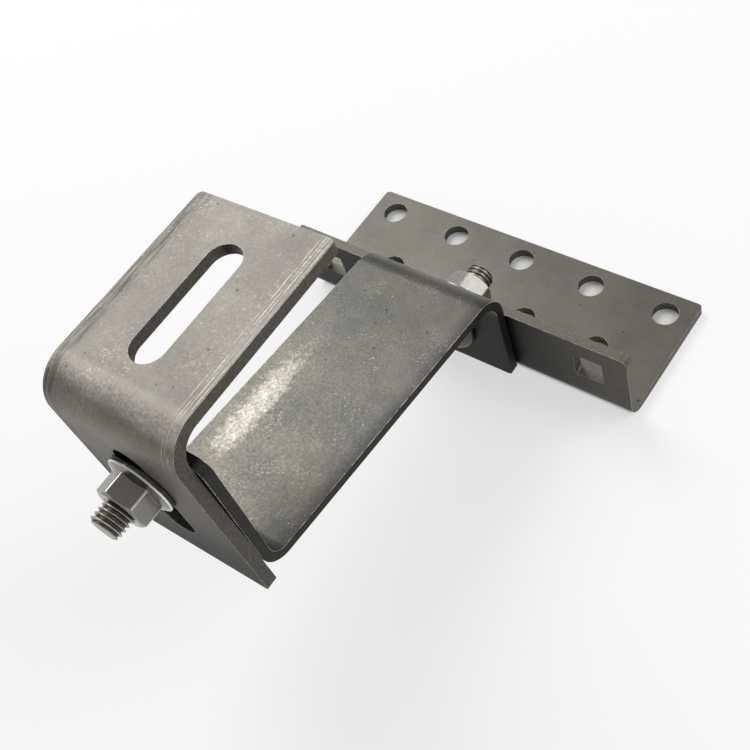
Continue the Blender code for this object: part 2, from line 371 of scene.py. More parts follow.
def hole_tool(centre, axis, long_side, short_side, corner):
    """A block through a sheet that faces along axis, its long side in the plane of the folds."""
    bpy.ops.object.select_all(action="DESELECT")
    bpy.ops.mesh.primitive_cube_add(size=1)
    tool = bpy.context.object
    tool.scale = (short_side, long_side, THROUGH)
    apply_place(tool)
    bpy.ops.object.mode_set(mode="EDIT")
    pick("EDGE", lambda e: abs(e.verts[0].co.z - e.verts[1].co.z) > THROUGH / 2)
    bpy.ops.mesh.bevel(offset=corner, segments=HOLE_CORNER_STEPS, affect="EDGES")
    bpy.ops.object.mode_set(mode="OBJECT")
    facing = Vector(axis).to_track_quat("Z", "Y").to_matrix().to_4x4()
    apply_place(tool, Matrix.Translation(centre) @ facing)
    return tool


def soften(piece, width, sharper_than, smooth, edge_metal):
    """Rounds the edges that turn by more than sharper_than degrees and gives them edge_metal, a
    number among the piece's metals. What turns by less than smooth degrees is shaded smooth."""
    use_modifier(
        piece,
        "BEVEL",
        width=width,
        segments=EDGE_STEPS,
        limit_method="ANGLE",
        angle_limit=math.radians(sharper_than),
        use_clamp_overlap=True,
        material=edge_metal,
    )
    bpy.ops.object.shade_smooth_by_angle(angle=math.radians(smooth))
    use_modifier(piece, "WEIGHTED_NORMAL", keep_sharp=True, weight=LARGE_FACE_WEIGHT)


CLOUD = 20 * MM
GRAIN = 0.9 * MM
FLECK = 0.75 * MM
FLECK_PATCH = 14 * MM
PIT_HALF = (0.35 * MM, 0.6 * MM)
PIT_TONE = 0.55


def mill_finish(name, low, high, fleck, pebble, pit_pitch, bareness, seed):
    """Rolled stainless sheet as it leaves the mill: two greys in soft clouds 20 mm wide, a pebbled
    grain as strong as pebble says, bright flecks that gather in patches, more of them the higher
    the bareness, and dark pits. The real grain and flecks are about 0.1 mm, too fine to show, so
    they are drawn 0.9 and 0.75 mm wide. Returns the material, its colour, its grain's height and
    its coordinates, for finish_metal to end."""
    steel = new_material(name)
    place = add_node(steel, "ShaderNodeTexCoord").outputs["Object"]
    moved = add_node(
        steel, "ShaderNodeMapping", {"Location": (seed, seed / 3, 0)}, {"Vector": place}
    ).outputs["Vector"]
    clouds = add_node(
        steel,
        "ShaderNodeTexNoise",
        {"Scale": 1 / CLOUD, "Detail": 6, "Roughness": 0.66},
        {"Vector": moved},
    ).outputs["Fac"]
    cloud_share = add_node(
        steel, "ShaderNodeMapRange", {"From Min": 0.34, "From Max": 0.66}, {"Value": clouds}
    ).outputs["Result"]
    clouded = add_node(
        steel,
        "ShaderNodeMixRGB",
        {"Color1": linear(low), "Color2": linear(high)},
        {"Fac": cloud_share},
    ).outputs["Color"]
    grain = add_node(
        steel,
        "ShaderNodeTexNoise",
        {"Scale": 1 / GRAIN, "Detail": 2, "Roughness": 0.6},
        {"Vector": moved},
    ).outputs["Fac"]
    grain_tone = add_node(
        steel,
        "ShaderNodeMapRange",
        {
            "From Min": 0.3,
            "From Max": 0.7,
            "To Min": 1 - pebble,
            "To Max": 1 + pebble,
            "clamp": False,
        },
        {"Value": grain},
    ).outputs["Result"]
    grained = add_node(
        steel,
        "ShaderNodeMixRGB",
        {"blend_type": "MULTIPLY", "Fac": 1},
        {"Color1": clouded, "Color2": grain_tone},
    ).outputs["Color"]
    specks = add_node(
        steel,
        "ShaderNodeTexNoise",
        {"Scale": 1 / FLECK, "Detail": 2, "Roughness": 0.6, "Distortion": 0.5},
        {"Vector": place},
    ).outputs["Fac"]
    patches = add_node(
        steel,
        "ShaderNodeTexNoise",
        {"Scale": 1 / FLECK_PATCH, "Detail": 4, "Roughness": 0.65},
        {"Vector": moved},
    ).outputs["Fac"]
    limit = add_node(
        steel,
        "ShaderNodeMapRange",
        {"From Min": 0.35, "From Max": 0.7, "To Min": 0.7, "To Max": 0.7 - bareness},
        {"Value": patches},
    ).outputs["Result"]
    over = add_node(
        steel, "ShaderNodeMath", {"operation": "SUBTRACT"}, {0: specks, 1: limit}
    ).outputs["Value"]
    fleck_share = add_node(
        steel, "ShaderNodeMapRange", {"From Max": 0.16}, {"Value": over}
    ).outputs["Result"]
    flecked = add_node(
        steel,
        "ShaderNodeMixRGB",
        {"Color2": linear(fleck)},
        {"Fac": fleck_share, "Color1": grained},
    ).outputs["Color"]
    pits = add_node(
        steel, "ShaderNodeTexVoronoi", {"Scale": 1 / pit_pitch}, {"Vector": moved}
    ).outputs["Distance"]
    pit_floor, pit_rim = PIT_HALF
    pit_tone = add_node(
        steel,
        "ShaderNodeMapRange",
        {
            "From Min": pit_floor / pit_pitch,
            "From Max": pit_rim / pit_pitch,
            "To Min": PIT_TONE,
        },
        {"Value": pits},
    ).outputs["Result"]
    pitted = add_node(
        steel,
        "ShaderNodeMixRGB",
        {"blend_type": "MULTIPLY", "Fac": 1},
        {"Color1": flecked, "Color2": pit_tone},
    ).outputs["Color"]
    return steel, pitted, grain, place


def paint_light_and_stains(steel, colour, light_and_stains):
    """light_and_stains pairs how much of each mark shows with its tone, which darkens the colour
    where it is under 1 and pales it where it is over. The marks are painted shade, painted
    highlights and stains."""
    for share, tone in light_and_stains:
        colour = add_node(
            steel,
            "ShaderNodeMixRGB",
            {"blend_type": "MULTIPLY", "Color2": (tone, tone, tone, 1)},
            {"Fac": share, "Color1": colour},
        ).outputs["Color"]
    return colour


def finish_metal(steel, colour, height, roughness, metallic, relief):
    """Links the colour and the grain's height to the shader. roughness is that of its low and of
    its high spots, and relief is how far the high spots stand out."""
    shader = steel.node_tree.nodes["Principled BSDF"]
    shader.inputs["Metallic"].default_value = metallic
    gloss = add_node(
        steel,
        "ShaderNodeMapRange",
        {"From Min": 0.3, "From Max": 0.7, "To Min": roughness[0], "To Max": roughness[1]},
        {"Value": height},
    ).outputs["Result"]
    bump = add_node(
        steel, "ShaderNodeBump", {"Strength": 1, "Distance": relief}, {"Height": height}
    ).outputs["Normal"]
    steel.node_tree.links.new(colour, shader.inputs["Base Color"])
    steel.node_tree.links.new(gloss, shader.inputs["Roughness"])
    steel.node_tree.links.new(bump, shader.inputs["Normal"])


def cut_edge(name, low, high):
    """The sheet's cut edge, scaled dull and dark by the laser's heat. The laser's lines are too
    fine to show, so they are drawn as a grain 0.9 mm wide."""
    steel = new_material(name)
    place = add_node(steel, "ShaderNodeTexCoord").outputs["Object"]
    grain = add_node(
        steel,
        "ShaderNodeTexNoise",
        {"Scale": 1 / GRAIN, "Detail": 3, "Roughness": 0.65},
        {"Vector": place},
    ).outputs["Fac"]
    share = add_node(
        steel, "ShaderNodeMapRange", {"From Min": 0.3, "From Max": 0.72}, {"Value": grain}
    ).outputs["Result"]
    colour = add_node(
        steel,
        "ShaderNodeMixRGB",
        {"Color1": linear(low), "Color2": linear(high)},
        {"Fac": share},
    ).outputs["Color"]
    finish_metal(
        steel, colour, grain, roughness=(0.5, 0.65), metallic=1, relief=0.05 * MM
    )
    return steel


BURR_BREAK = 3 * MM
# The burr's bright colour is a painted highlight.
BURR_DARK = "#5C5A53"
BURR_HIGHLIGHT = "#DDD9CE"


def burr(name):
    """The thin burr round the cuts, painted bright in places and dark between, so it shows as a
    broken bright line: a painted highlight along the edges."""
    steel = new_material(name)
    place = add_node(steel, "ShaderNodeTexCoord").outputs["Object"]
    breaks = add_node(
        steel,
        "ShaderNodeTexNoise",
        {"Scale": 1 / BURR_BREAK, "Detail": 4, "Roughness": 0.7},
        {"Vector": place},
    ).outputs["Fac"]
    share = add_node(
        steel, "ShaderNodeMapRange", {"From Min": 0.36, "From Max": 0.58}, {"Value": breaks}
    ).outputs["Result"]
    colour = add_node(
        steel,
        "ShaderNodeMixRGB",
        {"Color1": linear(BURR_DARK), "Color2": linear(BURR_HIGHLIGHT)},
        {"Fac": share},
    ).outputs["Color"]
    finish_metal(
        steel, colour, breaks, roughness=(0.35, 0.5), metallic=1, relief=0.03 * MM
    )
    return steel


# The base's sheet is the smoothest of the three and a warm grey. The front of its flange is
# painted darker, most of all beside the arm's leg, as painted shade.
FLANGE_FRONT_Y = (FLANGE_Y + 0.1 * MM, FLANGE_Y + 0.4 * MM)
BY_LEG_X = (26 * MM, 62 * MM)
FLANGE_FRONT_SHADE_TONE = 0.6
BY_LEG_SHADE_TONE = 0.2
# Its greys are set darker than the rail bracket's, partly as painted shade.
base_steel, base_colour, base_grain, base_place = mill_finish(
    "base_mill_stainless",
    low="#5F5D57",
    high="#6B6861",
    fleck="#85827A",
    pebble=0.08,
    pit_pitch=9 * MM,
    bareness=0.08,
    seed=0.2,
)
base_spots = add_node(base_steel, "ShaderNodeSeparateXYZ", links={"Vector": base_place})
# Painted shade on the flange's front, deepest beside the arm's leg.
front = fading(base_steel, base_spots.outputs["Y"], *FLANGE_FRONT_Y)
by_leg = fading(base_steel, base_spots.outputs["X"], *BY_LEG_X)
shade_by_leg = add_node(
    base_steel, "ShaderNodeMath", {"operation": "MULTIPLY"}, {0: front, 1: by_leg}
).outputs["Value"]
base_painted_shade = ((front, FLANGE_FRONT_SHADE_TONE), (shade_by_leg, BY_LEG_SHADE_TONE))
base_colour = paint_light_and_stains(base_steel, base_colour, base_painted_shade)
finish_metal(
    base_steel,
    base_colour,
    base_grain,
    roughness=(0.42, 0.52),
    metallic=0.95,
    relief=0.01 * MM,
)
base_cut_edge = cut_edge("base_cut_edge", low="#5B5953", high="#7E7B73")
base_burr = burr("base_burr")

base_bracket = folded_sheet(
    "base_angle",
    corners=[(FLANGE_Y, FLANGE_HEIGHT), (FLANGE_Y, 0), (FLANGE_Y + BASE_DEPTH, 0)],
    folds=[BASE_FOLD],
    centre_x=0,
    width=BASE_LENGTH,
    thickness=BASE_SHEET,
    tips=BASE_TIPS,
    metals=(base_steel, base_cut_edge, base_burr),
)
holes = []
for count, row_y in HOLE_ROWS:
    for index in range(count):
        bpy.ops.object.select_all(action="DESELECT")
        bpy.ops.mesh.primitive_cylinder_add(
            vertices=HOLE_STEPS,
            radius=SCREW_HOLE / 2,
            depth=THROUGH,
            location=((index - (count - 1) / 2) * HOLE_PITCH, row_y, 0),
        )
        holes.append(bpy.context.object)
        apply_place(holes[-1])
for square_x in (-SQUARE_HOLE_X, 0, SQUARE_HOLE_X):
    place = (square_x, FLANGE_Y, REAR_BOLT_Z)
    holes.append(hole_tool(place, (0, -1, 0), SQUARE_HOLE, SQUARE_HOLE, SQUARE_CORNER))
cut_with(base_bracket, *holes)
soften(base_bracket, BASE_EDGE, EDGE_SHARPER_THAN, SMOOTH_UNDER, BURR_METAL)
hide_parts("base_bracket")
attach(base_bracket, "root")

# Hook arm
# The arm is one strip of the same sheet, 50 mm wide and folded twice: a leg that is bolted to the
# base's flange, a plate that climbs over the roof tile, and a wall that the rail bracket hangs on.

ARM_SHEET = 3.5 * MM
ARM_WIDTH = 50.5 * MM
ARM_CENTRE_X = -0.8 * MM
LEG_BACK_Y = FLANGE_Y - GAP
LEG_BOTTOM_Z = 2.2 * MM
PLATE_TOP_Z = 46.9 * MM
PLATE_RISE = math.tan(math.radians(5.5))
WALL_BACK_Y = FLANGE_Y - 114.8 * MM
WALL_TOP_Z = 111.3 * MM
REAR_FOLD = 11 * MM
FRONT_FOLD = 5.5 * MM
ARM_TIPS = (2 * MM, 4 * MM)
ARM_EDGE = 0.3 * MM
FRONT_BOLT_X = -2.9 * MM
FRONT_BOLT_Z = 91.5 * MM

# The arm's sheet has a sparkling grain. A bright band along its left side is a painted highlight,
# which breaks up into specks at its edges and fades out towards the base. Its right side is
# painted darker and its leg much darker, as painted shade, and on the leg the burr takes the dark
# cut-edge metal. Its cut edges are the darkest of the three sheets', partly as painted shade.
HIGHLIGHT_X = -16.8 * MM
HIGHLIGHT_HALF = (0.5 * MM, 10 * MM)
HIGHLIGHT_BACK = (-96 * MM, -56 * MM)
HIGHLIGHT_FRONT = (-110 * MM, -136 * MM)
LEG_SHADE_Z = 34 * MM
LEG_SHADE_GONE_Z = 42 * MM
RIGHT_SIDE_X = (ARM_CENTRE_X + ARM_WIDTH / 2, 19 * MM)
RIGHT_SIDE_SHADE_TONE = 0.6
LEG_SHADE_TONE = 0.1
HIGHLIGHT_SPECK = 2 * MM
HIGHLIGHT_COLOUR = "#BEBAAD"
arm_steel, arm_colour, arm_grain, arm_place = mill_finish(
    "arm_mill_stainless",
    low="#5C5C59",
    high="#706D64",
    fleck="#918D83",
    pebble=0.14,
    pit_pitch=8 * MM,
    bareness=0.2,
    seed=0.5,
)
arm_spots = add_node(arm_steel, "ShaderNodeSeparateXYZ", links={"Vector": arm_place})
# Painted highlight: a bright band along the left side, in specks at its edges.
painted_highlight = fading(arm_steel, arm_spots.outputs["X"], *HIGHLIGHT_HALF, line=HIGHLIGHT_X)
for ends in (HIGHLIGHT_BACK, HIGHLIGHT_FRONT):
    end = fading(arm_steel, arm_spots.outputs["Y"], *ends)
    painted_highlight = add_node(
        arm_steel, "ShaderNodeMath", {"operation": "MULTIPLY"}, {0: painted_highlight, 1: end}
    ).outputs["Value"]
highlight_specks = add_node(
    arm_steel,
    "ShaderNodeTexNoise",
    {"Scale": 1 / HIGHLIGHT_SPECK, "Detail": 5, "Roughness": 0.75, "Distortion": 0.5},
    {"Vector": arm_place},
).outputs["Fac"]
highlight_limit = add_node(
    arm_steel, "ShaderNodeMapRange", {"To Min": 0.74, "To Max": 0.22}, {"Value": painted_highlight}
).outputs["Result"]
highlight_over = add_node(
    arm_steel, "ShaderNodeMath", {"operation": "SUBTRACT"}, {0: highlight_specks, 1: highlight_limit}
).outputs["Value"]
highlight_share = add_node(
    arm_steel, "ShaderNodeMapRange", {"From Max": 0.5}, {"Value": highlight_over}
).outputs["Result"]
arm_colour = add_node(
    arm_steel,
    "ShaderNodeMixRGB",
    {"Color2": linear(HIGHLIGHT_COLOUR)},
    {"Fac": highlight_share, "Color1": arm_colour},
).outputs["Color"]
# Painted shade: darker on the right side, much darker on the leg.
shaded_right_side = fading(arm_steel, arm_spots.outputs["X"], *RIGHT_SIDE_X)
shaded_leg = fading(arm_steel, arm_spots.outputs["Z"], LEG_SHADE_Z, LEG_SHADE_GONE_Z)
arm_painted_shade = ((shaded_right_side, RIGHT_SIDE_SHADE_TONE), (shaded_leg, LEG_SHADE_TONE))
arm_colour = paint_light_and_stains(arm_steel, arm_colour, arm_painted_shade)
finish_metal(
    arm_steel, arm_colour, arm_grain, roughness=(0.38, 0.55), metallic=0.95, relief=0.03 * MM
)
# The arm's cut edges are painted the darkest of the three, partly as painted shade.
arm_cut_edge = cut_edge("arm_cut_edge", low="#2B2A27", high="#45443F")
arm_burr = burr("arm_burr")

hook_arm = folded_sheet(
    "hook_arm_strip",
    corners=[
        (LEG_BACK_Y, LEG_BOTTOM_Z),
        (LEG_BACK_Y, PLATE_TOP_Z + GAP * PLATE_RISE),
        (WALL_BACK_Y, PLATE_TOP_Z + (FLANGE_Y - WALL_BACK_Y) * PLATE_RISE),
        (WALL_BACK_Y, WALL_TOP_Z),
    ],
    folds=[REAR_FOLD, FRONT_FOLD],
    centre_x=ARM_CENTRE_X,
    width=ARM_WIDTH,
    thickness=ARM_SHEET,
    tips=ARM_TIPS,
    metals=(arm_steel, arm_cut_edge, arm_burr),
)
holes = [
    hole_tool(place, (0, -1, 0), SQUARE_HOLE, SQUARE_HOLE, SQUARE_CORNER)
    for place in ((0, LEG_BACK_Y, REAR_BOLT_Z), (FRONT_BOLT_X, WALL_BACK_Y, FRONT_BOLT_Z))
]
cut_with(hook_arm, *holes)
soften(hook_arm, ARM_EDGE, EDGE_SHARPER_THAN, SMOOTH_UNDER, BURR_METAL)
# On the leg the burr takes the dark cut-edge metal, as painted shade.
for face in hook_arm.data.polygons:
    if face.material_index == BURR_METAL and face.center.z < LEG_SHADE_Z:
        face.material_index = CUT_METAL
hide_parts("hook_arm")
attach(hook_arm, "root")

# Rear carriage bolt
# An M10 carriage bolt, cold headed from stainless wire: its domed head lies on the leg's front,
# its square neck fills the leg's square hole, and its thread is rolled and ends in a chamfer.

REAR_BOLT_LENGTH = 24 * MM
BOLT_SIZE = 9.9 * MM
THREAD_PITCH = 1.5 * MM
THREAD_DEPTH = 0.92 * MM
THREAD_START = 3 * MM
THREAD_FLANKS = (0.2 * THREAD_PITCH, 0.54 * THREAD_PITCH, 0.66 * THREAD_PITCH)
BOLT_CHAMFER = 0.9 * MM
HEAD_DIAMETER = 24 * MM
HEAD_HEIGHT = 5.2 * MM
HEAD_RIM = 0.8 * MM
NECK_SIDE = 9.9 * MM
NECK_LENGTH = 5.5 * MM
SHADED_HEAD = 1.0
END_DARKENING = 0.4
THREAD_STEPS = 48
BAR_STEPS = 64
DOME_RINGS = 32
NECK_CORNER_STEPS = 4
BOLT_SMOOTH_UNDER = 25


def rolled_thread(length):
    """A helical thread along +Z, from THREAD_START to the bolt's length. Its section climbs from
    the root to a short flat crest and back, by (radius, height) steps within one pitch."""
    crest = BOLT_SIZE / 2
    root = crest - THREAD_DEPTH
    leaves_root, meets_crest, leaves_crest = THREAD_FLANKS
    section = (
        (root, leaves_root),
        (crest, meets_crest),
        (crest, leaves_crest),
        (root, THREAD_PITCH),
    )
    bpy.ops.object.select_all(action="DESELECT")
    bpy.ops.mesh.primitive_plane_add(size=MM, location=(root, 0, 0))
    thread = bpy.context.object
    apply_place(thread)
    bpy.ops.object.mode_set(mode="EDIT")
    bpy.ops.mesh.select_mode(type="VERT")
    bpy.ops.mesh.select_all(action="SELECT")
    bpy.ops.mesh.merge(type="CENTER")
    here = Vector((root, 0, 0))
    for radius, height in section:
        there = Vector((radius, 0, height))
        bpy.ops.mesh.extrude_vertices_move(TRANSFORM_OT_translate={"value": there - here})
        here = there
    bpy.ops.object.mode_set(mode="OBJECT")
    use_modifier(
        thread,
        "SCREW",
        angle=math.tau,
        screw_offset=THREAD_PITCH,
        iterations=math.ceil(length / THREAD_PITCH) + 1,
        steps=THREAD_STEPS,
        render_steps=THREAD_STEPS,
    )
    bpy.ops.object.mode_set(mode="EDIT")
    bpy.ops.mesh.select_all(action="SELECT")
    bpy.ops.mesh.remove_doubles(threshold=CLOSE)
    for height, side in ((THREAD_START, 1), (length, -1)):
        bpy.ops.mesh.select_all(action="SELECT")
        bpy.ops.mesh.bisect(
            plane_co=(0, 0, height),
            plane_no=(0, 0, side),
            use_fill=True,
            clear_inner=True,
            threshold=CLOSE / 10,
        )
    bpy.ops.mesh.select_all(action="SELECT")
    bpy.ops.mesh.normals_make_consistent(inside=False)
    bpy.ops.object.mode_set(mode="OBJECT")
    return thread


def carriage_bolt(name, length, seat, direction, x, z, steel):
    """Its head sits at seat, a Y position, and its thread points along direction, 1 or -1. The
    painted_shade attribute tells its steel how dark to paint each spot as painted shade: by its
    depth in the thread, fully on the head and neck, and partly on the end."""
    bolt = rolled_thread(length)
    bolt.name = name

    bpy.ops.object.select_all(action="DESELECT")
    bpy.ops.mesh.primitive_cylinder_add(
        vertices=BAR_STEPS,
        radius=BOLT_SIZE / 2 + CLOSE,
        depth=length,
        location=(0, 0, length / 2),
    )
    envelope = bpy.context.object
    apply_place(envelope)
    bpy.ops.object.mode_set(mode="EDIT")
    pick("EDGE", lambda e: all(v.co.z > length - CLOSE for v in e.verts))
    bpy.ops.mesh.bevel(offset=BOLT_CHAMFER, segments=1, affect="EDGES")
    bpy.ops.object.mode_set(mode="OBJECT")
    cut_with(bolt, envelope, operation="INTERSECT")

    bpy.ops.object.select_all(action="DESELECT")
    bpy.ops.mesh.primitive_cube_add(size=1, location=(0, 0, (NECK_LENGTH - HEAD_RIM) / 2))
    neck = bpy.context.object
    neck.scale = (NECK_SIDE, NECK_SIDE, NECK_LENGTH)
    apply_place(neck)
    bpy.ops.object.mode_set(mode="EDIT")
    pick("EDGE", lambda e: abs(e.verts[0].co.z - e.verts[1].co.z) > NECK_LENGTH / 2)
    bpy.ops.mesh.bevel(offset=SQUARE_CORNER, segments=NECK_CORNER_STEPS, affect="EDGES")
    bpy.ops.object.mode_set(mode="OBJECT")
    cut_with(bolt, neck, operation="UNION")

    bpy.ops.object.select_all(action="DESELECT")
    bpy.ops.mesh.primitive_uv_sphere_add(
        segments=BAR_STEPS,
        ring_count=DOME_RINGS,
        radius=HEAD_DIAMETER / 2,
        location=(0, 0, -HEAD_RIM),
    )
    head = bpy.context.object
    head.scale.z = (HEAD_HEIGHT - HEAD_RIM) / (HEAD_DIAMETER / 2)
    apply_place(head)
    bpy.ops.object.mode_set(mode="EDIT")
    bpy.ops.mesh.select_all(action="SELECT")
    bpy.ops.mesh.bisect(
        plane_co=(0, 0, -HEAD_RIM),
        plane_no=(0, 0, 1),
        use_fill=True,
        clear_outer=True,
        threshold=CLOSE,
    )
    pick("FACE", lambda f: f.calc_center_median().z > -HEAD_RIM - CLOSE)
    bpy.ops.mesh.extrude_region_move(TRANSFORM_OT_translate={"value": (0, 0, HEAD_RIM)})
    bpy.ops.object.mode_set(mode="OBJECT")
    cut_with(bolt, head, operation="UNION")

    # Painted shade: the thread's roots by their depth, and the whole head and neck.
    shade_attribute = bolt.data.attributes.new("painted_shade", "FLOAT", "POINT")
    for point, depth in zip(bolt.data.vertices, shade_attribute.data):
        if point.co.z < NECK_LENGTH:
            depth.value = SHADED_HEAD
        elif point.co.z < length - CLOSE:
            depth.value = (BOLT_SIZE / 2 - point.co.xy.length) / THREAD_DEPTH
        else:
            depth.value = END_DARKENING
    bolt.data.materials.clear()
    bolt.data.materials.append(steel)
    facing = Vector((0, direction, 0)).to_track_quat("Z", "Y").to_matrix().to_4x4()
    apply_place(bolt, Matrix.Translation((x, seat, z)) @ facing)
    bpy.ops.object.shade_smooth_by_angle(angle=math.radians(BOLT_SMOOTH_UNDER))
    return bolt


# Rolled threads stay bright on their crests. Their roots are painted dark by their depth, and the
# bolts' heads dark, as painted shade. The rolled metal is smooth, and its fine lines are too small
# to show, so they are drawn 1.2 mm wide.
ROLLED_GRAIN = 1.2 * MM
CREST_COLOUR = "#B9B6AE"
ROOT_SHADE_COLOUR = "#5C5850"
bolt_steel = new_material("bolt_rolled_stainless")
depth = add_node(
    bolt_steel, "ShaderNodeAttribute", {"attribute_name": "painted_shade"}
).outputs["Fac"]
root_shade = add_node(
    bolt_steel, "ShaderNodeMapRange", {"From Min": 0.2, "From Max": 1}, {"Value": depth}
).outputs["Result"]
bolt_place = add_node(bolt_steel, "ShaderNodeTexCoord").outputs["Object"]
bolt_grain = add_node(
    bolt_steel,
    "ShaderNodeTexNoise",
    {"Scale": 1 / ROLLED_GRAIN, "Detail": 3},
    {"Vector": bolt_place},
).outputs["Fac"]
bolt_colour = add_node(
    bolt_steel,
    "ShaderNodeMixRGB",
    {"Color1": linear(CREST_COLOUR), "Color2": linear(ROOT_SHADE_COLOUR)},
    {"Fac": root_shade},
).outputs["Color"]
finish_metal(
    bolt_steel, bolt_colour, bolt_grain, roughness=(0.34, 0.46), metallic=1, relief=0.01 * MM
)

rear_bolt = carriage_bolt(
    "rear_bolt_m10",
    length=REAR_BOLT_LENGTH,
    seat=LEG_BACK_Y - ARM_SHEET - GAP,
    direction=1,
    x=0,
    z=REAR_BOLT_Z,
    steel=bolt_steel,
)
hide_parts("rear_carriage_bolt")
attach(rear_bolt, "root")

# Rear flange nut
# An M10 hexagon nut forged with its own round flange, so that it needs no washer. The corners of
# its crown are turned off at 30 degrees, and its bore is countersunk over the thread.

NUT_ACROSS_FLATS = 15 * MM
NUT_HEIGHT = 9.9 * MM
NUT_FLANGE = 21.8 * MM
NUT_RIM = 1.5 * MM
NUT_CROWN = 14.2 * MM
NUT_CONE = math.tan(math.radians(25))
NUT_CHAMFER = math.tan(math.radians(30))
NUT_BORE = 8.7 * MM
NUT_COUNTERSINK = 11 * MM
NUT_EDGE = 0.26 * MM
NUT_CORNER = 0.34 * MM
NUT_LIP = 0.36 * MM
LIP_SLANT = (0.1, 0.88)
NUT_PAST = 1 * MM  # how far a tool stands past the nut
NUT_CORNER_STEPS = 4
NUT_LIP_STEPS = 5
NUT_SHARPER_THAN = 14
NUT_SMOOTH_UNDER = 25
NUT_EDGE_METAL = 1
LEVEL = 0.9
HEXAGON = 6
REAR_NUT_TURN = math.radians(4.5)


def round_tool(radius_low, radius_high, low, high, vertices=BAR_STEPS):
    """A round or six-sided bar or cone that stands on +Z between two heights."""
    bpy.ops.object.select_all(action="DESELECT")
    bpy.ops.mesh.primitive_cone_add(
        vertices=vertices,
        radius1=radius_low,
        radius2=radius_high,
        depth=high - low,
        location=(0, 0, (low + high) / 2),
    )
    tool = bpy.context.object
    apply_place(tool)
    return tool


def flange_nut(name, seat, direction, x, z, turn, finishes):
    """Its flange rests at seat, a Y position, and its crown points along direction, 1 or -1. Of
    its two finishes the second is for its edges, its corners and its flange's lip, which it paints
    as a painted highlight."""
    flat = NUT_ACROSS_FLATS / 2
    corner = flat / math.cos(math.pi / HEXAGON)
    rim = NUT_FLANGE / 2
    cone_top = NUT_RIM + (rim - flat) * NUT_CONE
    nut = round_tool(corner, corner, NUT_RIM / 2, NUT_HEIGHT, vertices=HEXAGON)
    nut.name = name
    bpy.ops.object.mode_set(mode="EDIT")
    pick("EDGE", lambda e: abs(e.verts[0].co.z - e.verts[1].co.z) > NUT_RIM)
    bpy.ops.mesh.bevel(offset=NUT_CORNER, segments=NUT_CORNER_STEPS, affect="EDGES")
    bpy.ops.object.mode_set(mode="OBJECT")
    for finish in finishes:
        nut.data.materials.append(finish)
    crown_foot = corner + NUT_PAST
    crown_drop = (crown_foot - NUT_CROWN / 2) * NUT_CHAMFER
    crown = round_tool(crown_foot, NUT_CROWN / 2, NUT_HEIGHT - crown_drop, NUT_HEIGHT)
    bpy.ops.object.mode_set(mode="EDIT")
    pick("FACE", lambda f: f.normal.z < -LEVEL)
    bpy.ops.mesh.extrude_region_move(TRANSFORM_OT_translate={"value": (0, 0, -NUT_HEIGHT)})
    bpy.ops.object.mode_set(mode="OBJECT")
    cut_with(nut, crown, operation="INTERSECT")

    flange = round_tool(rim, rim, 0, NUT_RIM)
    bpy.ops.object.mode_set(mode="EDIT")
    pick("FACE", lambda f: f.normal.z > LEVEL)
    bpy.ops.mesh.extrude_region_move(
        TRANSFORM_OT_translate={"value": (0, 0, cone_top - NUT_RIM)}
    )
    bpy.ops.transform.resize(value=(flat / rim, flat / rim, 1))
    pick("EDGE", lambda e: all(abs(v.co.z - NUT_RIM) < CLOSE for v in e.verts))
    bpy.ops.mesh.bevel(offset=NUT_LIP, segments=NUT_LIP_STEPS, affect="EDGES")
    bpy.ops.object.mode_set(mode="OBJECT")
    cut_with(nut, flange, operation="UNION")

    bore = NUT_BORE / 2
    sink = (NUT_COUNTERSINK - NUT_BORE) / 2
    sink_mouth = NUT_COUNTERSINK / 2 + NUT_PAST
    cut_with(nut, round_tool(bore, bore, -NUT_PAST, NUT_HEIGHT + NUT_PAST))
    cut_with(nut, round_tool(bore, sink_mouth, NUT_HEIGHT - sink, NUT_HEIGHT + NUT_PAST))
    cut_with(nut, round_tool(sink_mouth, bore, -NUT_PAST, sink))
    upright, level = LIP_SLANT
    # Its corners and its flange's lip take the edge finish, a painted highlight.
    for face in nut.data.polygons:
        out = face.center.xy.length
        on_lip = upright < face.normal.z < level and out > rim - NUT_LIP
        on_corner = abs(face.normal.z) < upright and corner - NUT_CORNER < out < corner
        face.material_index = NUT_EDGE_METAL if on_lip or on_corner else 0

    facing = Vector((0, direction, 0)).to_track_quat("Z", "Y").to_matrix().to_4x4()
    place = Matrix.Translation((x, seat, z)) @ facing @ Matrix.Rotation(turn, 4, "Z")
    apply_place(nut, place)
    soften(nut, NUT_EDGE, NUT_SHARPER_THAN, NUT_SMOOTH_UNDER, NUT_EDGE_METAL)
    return nut


DIMPLE = 1.4 * MM


def nut_metal(name, low, high, roughness):
    """Forged and tumbled stainless: smooth, in two close greys. The dimples of tumbling are too
    fine to show, so they are drawn 1.4 mm wide."""
    steel = new_material(name)
    place = add_node(steel, "ShaderNodeTexCoord").outputs["Object"]
    grain = add_node(
        steel,
        "ShaderNodeTexNoise",
        {"Scale": 1 / DIMPLE, "Detail": 3},
        {"Vector": place},
    ).outputs["Fac"]
    colour = add_node(
        steel,
        "ShaderNodeMixRGB",
        {"Color1": linear(low), "Color2": linear(high)},
        {"Fac": grain},
    ).outputs["Color"]
    finish_metal(steel, colour, grain, roughness, metallic=1, relief=0.015 * MM)
    return steel


